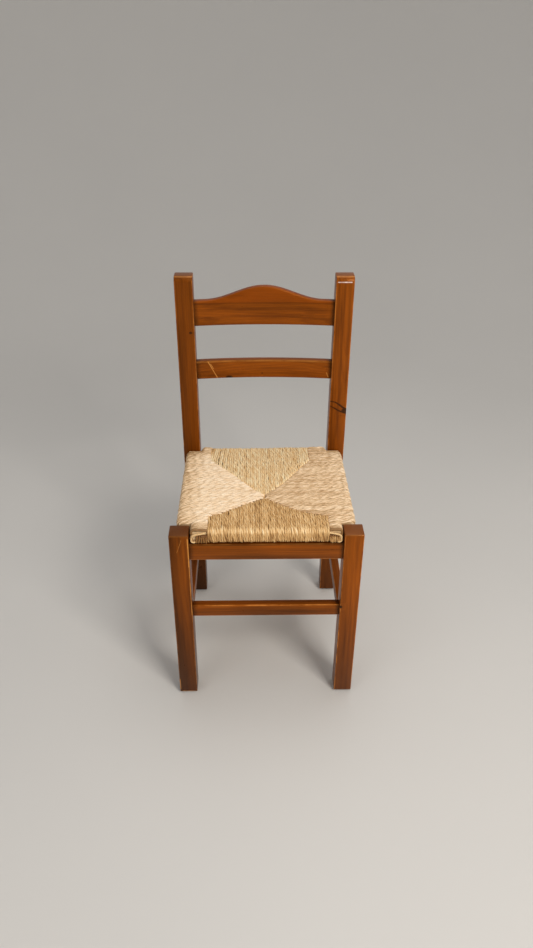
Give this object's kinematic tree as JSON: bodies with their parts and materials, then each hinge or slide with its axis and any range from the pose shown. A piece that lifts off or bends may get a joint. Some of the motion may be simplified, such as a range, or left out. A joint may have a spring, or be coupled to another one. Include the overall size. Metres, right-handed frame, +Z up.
{
  "type": "dining chair",
  "caption": "Rush-seated wooden dining chair: square legs, posts rising to a domed crest rail and a middle rail, aprons and stretchers below.",
  "frame": {"origin": "on the floor, under the middle of the chair's bounding box", "axes": "+Z up, the chair faces -Y, +X to the right as seen from in front"},
  "size_m": [0.409, 0.407, 0.896],
  "materials": {
    "stained_wood": "semi-gloss lacquer over a warm brown stain",
    "plain_wood": "raw",
    "rush": "twisted natural rush cord",
    "steel": "zinc plated",
    "glide_plastic": "moulded"
  },
  "bodies": {
    "root": {"front_leg_left": "stained_wood", "front_leg_right": "stained_wood", "rear_post_left": "stained_wood", "rear_post_right": "stained_wood", "crest_rail": "stained_wood", "middle_rail": "stained_wood", "front_apron": "stained_wood", "rear_apron": "stained_wood", "side_apron_left": "stained_wood", "side_apron_right": "stained_wood", "front_stretcher": "stained_wood", "rear_stretcher": "stained_wood", "side_stretcher_left": "stained_wood", "side_stretcher_right": "stained_wood", "seat_rail_front": "plain_wood", "seat_rail_rear": "plain_wood", "seat_rail_left": "plain_wood", "seat_rail_right": "plain_wood", "rush_seat": "rush", "corner_block_front_left": "plain_wood", "corner_block_front_right": "plain_wood", "corner_block_rear_left": "plain_wood", "corner_block_rear_right": "plain_wood", "seat_screw_front_left": "steel", "seat_screw_front_right": "steel", "seat_screw_rear_left": "steel", "seat_screw_rear_right": "steel", "foot_glide_front_left": "glide_plastic", "foot_glide_front_right": "glide_plastic", "foot_glide_rear_left": "glide_plastic", "foot_glide_rear_right": "glide_plastic"}
  },
  "joints": []
}
